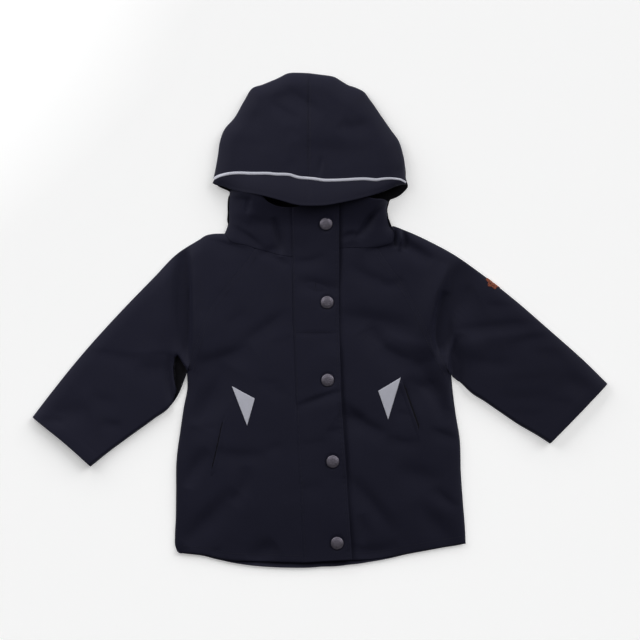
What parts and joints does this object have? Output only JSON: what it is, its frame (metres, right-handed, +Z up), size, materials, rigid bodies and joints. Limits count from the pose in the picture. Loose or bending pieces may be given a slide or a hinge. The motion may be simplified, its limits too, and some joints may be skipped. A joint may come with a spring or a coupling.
{
  "type": "kids raincoat",
  "caption": "Small child's hooded raincoat in dark navy cloth, laid flat on its back with the peaked hood folded forward, a snap-fastened storm flap, raglan sleeves and slanted welt pockets.",
  "frame": {"origin": "on the surface that the coat lies on, under the middle of its outline", "axes": "+Z up from the surface, +Y from the hem towards the hood, +X across the coat towards the wearer's left sleeve"},
  "size_m": [0.7174, 0.6188, 0.0215],
  "materials": {
    "navy_shell": "matt woven waterproof cloth, fine plain weave",
    "navy_brim": "the same cloth over a stiffener",
    "reflective_grey": "light grey retro-reflective tape",
    "gunmetal": "satin gunmetal snap cap with a rolled rim"
  },
  "bodies": {
    "root": {"back_panel": "navy_shell", "front_right": "navy_shell", "front_left": "navy_shell", "storm_flap": "navy_shell", "sleeve_right": "navy_shell", "sleeve_left": "navy_shell", "collar_right": "navy_shell", "collar_left": "navy_shell", "hood_right": "navy_shell", "hood_left": "navy_shell", "pocket_welt_right": "navy_shell", "pocket_welt_left": "navy_shell", "hood_brim": "navy_brim", "hood_piping": "reflective_grey", "reflector_right": "reflective_grey", "reflector_left": "reflective_grey", "snap_1": "gunmetal", "snap_2": "gunmetal", "snap_3": "gunmetal", "snap_4": "gunmetal", "snap_5": "gunmetal"}
  },
  "joints": []
}
